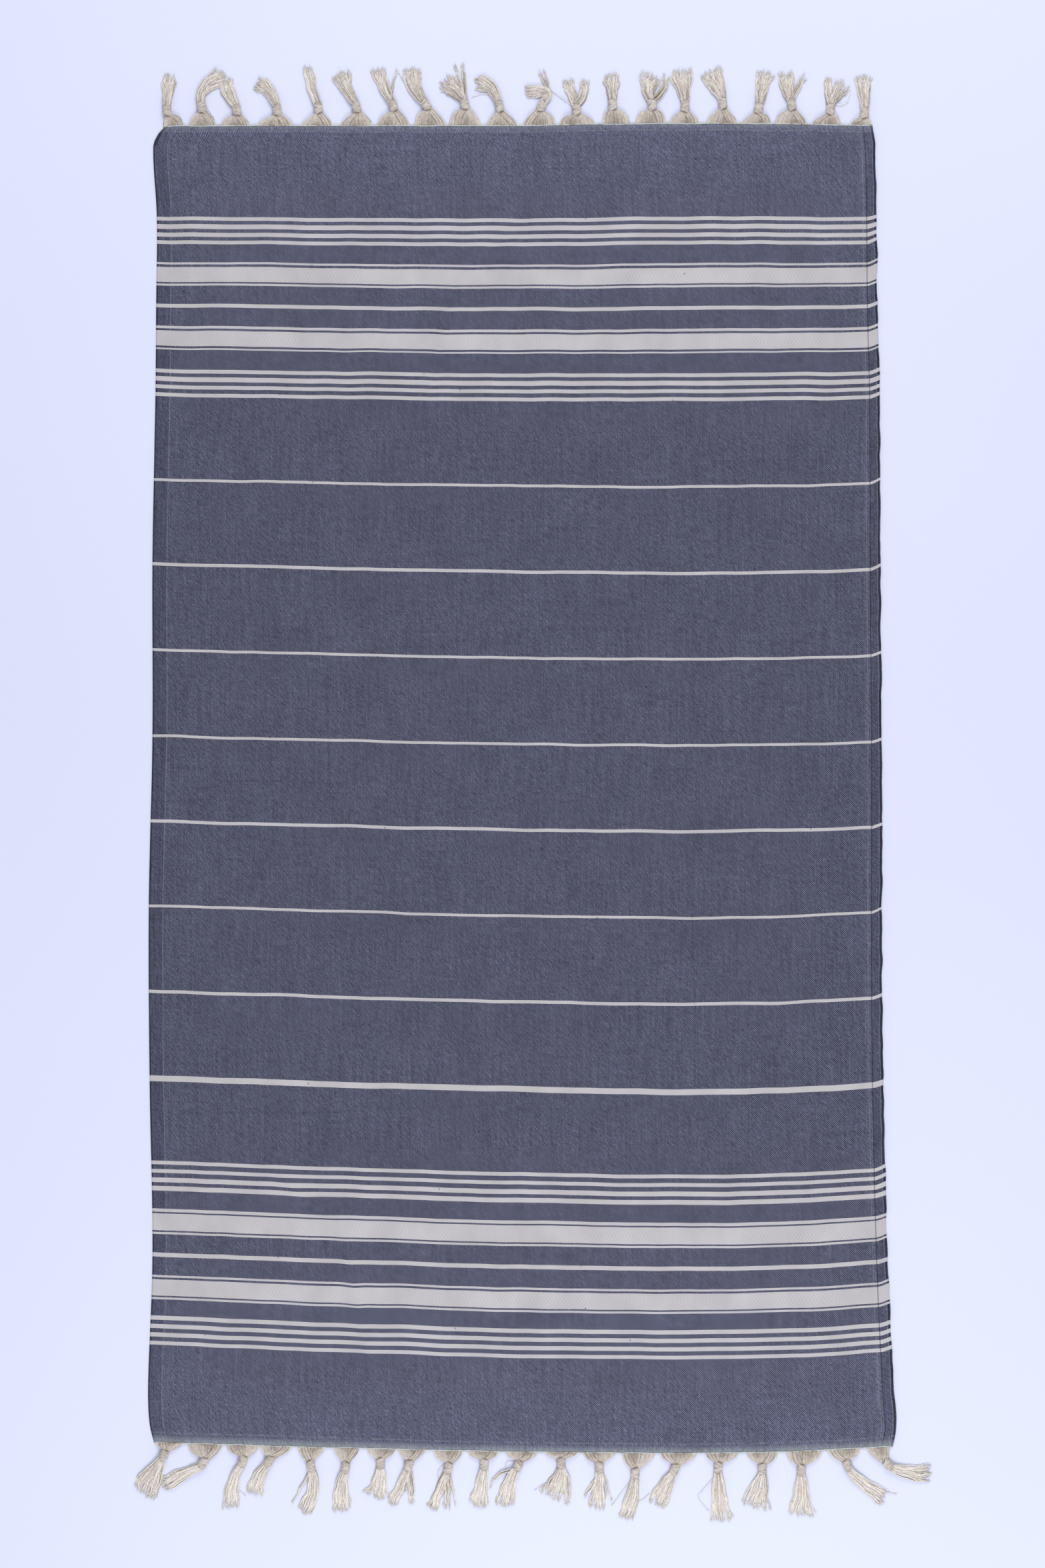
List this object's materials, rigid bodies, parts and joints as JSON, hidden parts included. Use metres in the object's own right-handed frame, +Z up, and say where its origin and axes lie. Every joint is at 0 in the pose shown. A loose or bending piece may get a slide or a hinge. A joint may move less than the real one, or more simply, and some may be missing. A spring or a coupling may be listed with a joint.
{
  "type": "fouta towel",
  "caption": "Flat rectangular woven cotton towel with light cross stripes on a blue ground and a row of knotted warp tassels along both short ends, laid out flat.",
  "frame": {"origin": "on the surface the towel lies on, under the middle of the cloth", "axes": "+Z up, out of the cloth's upper face; +Y along the towel's length; +X across it"},
  "size_m": [1.0955, 1.9903, 0.009],
  "materials": {
    "woven_cotton": "matt twill",
    "fringe_yarn": "matt loose yarn"
  },
  "bodies": {
    "root": {"cloth_body": "woven_cotton", "tassel_top_01": "fringe_yarn", "tassel_top_02": "fringe_yarn", "tassel_top_03": "fringe_yarn", "tassel_top_04": "fringe_yarn", "tassel_top_05": "fringe_yarn", "tassel_top_06": "fringe_yarn", "tassel_top_07": "fringe_yarn", "tassel_top_08": "fringe_yarn", "tassel_top_09": "fringe_yarn", "tassel_top_10": "fringe_yarn", "tassel_top_11": "fringe_yarn", "tassel_top_12": "fringe_yarn", "tassel_top_13": "fringe_yarn", "tassel_top_14": "fringe_yarn", "tassel_top_15": "fringe_yarn", "tassel_top_16": "fringe_yarn", "tassel_top_17": "fringe_yarn", "tassel_top_18": "fringe_yarn", "tassel_top_19": "fringe_yarn", "tassel_top_20": "fringe_yarn", "tassel_bottom_01": "fringe_yarn", "tassel_bottom_02": "fringe_yarn", "tassel_bottom_03": "fringe_yarn", "tassel_bottom_04": "fringe_yarn", "tassel_bottom_05": "fringe_yarn", "tassel_bottom_06": "fringe_yarn", "tassel_bottom_07": "fringe_yarn", "tassel_bottom_08": "fringe_yarn", "tassel_bottom_09": "fringe_yarn", "tassel_bottom_10": "fringe_yarn", "tassel_bottom_11": "fringe_yarn", "tassel_bottom_12": "fringe_yarn", "tassel_bottom_13": "fringe_yarn", "tassel_bottom_14": "fringe_yarn", "tassel_bottom_15": "fringe_yarn", "tassel_bottom_16": "fringe_yarn", "tassel_bottom_17": "fringe_yarn", "tassel_bottom_18": "fringe_yarn", "tassel_bottom_19": "fringe_yarn", "tassel_bottom_20": "fringe_yarn"}
  },
  "joints": []
}
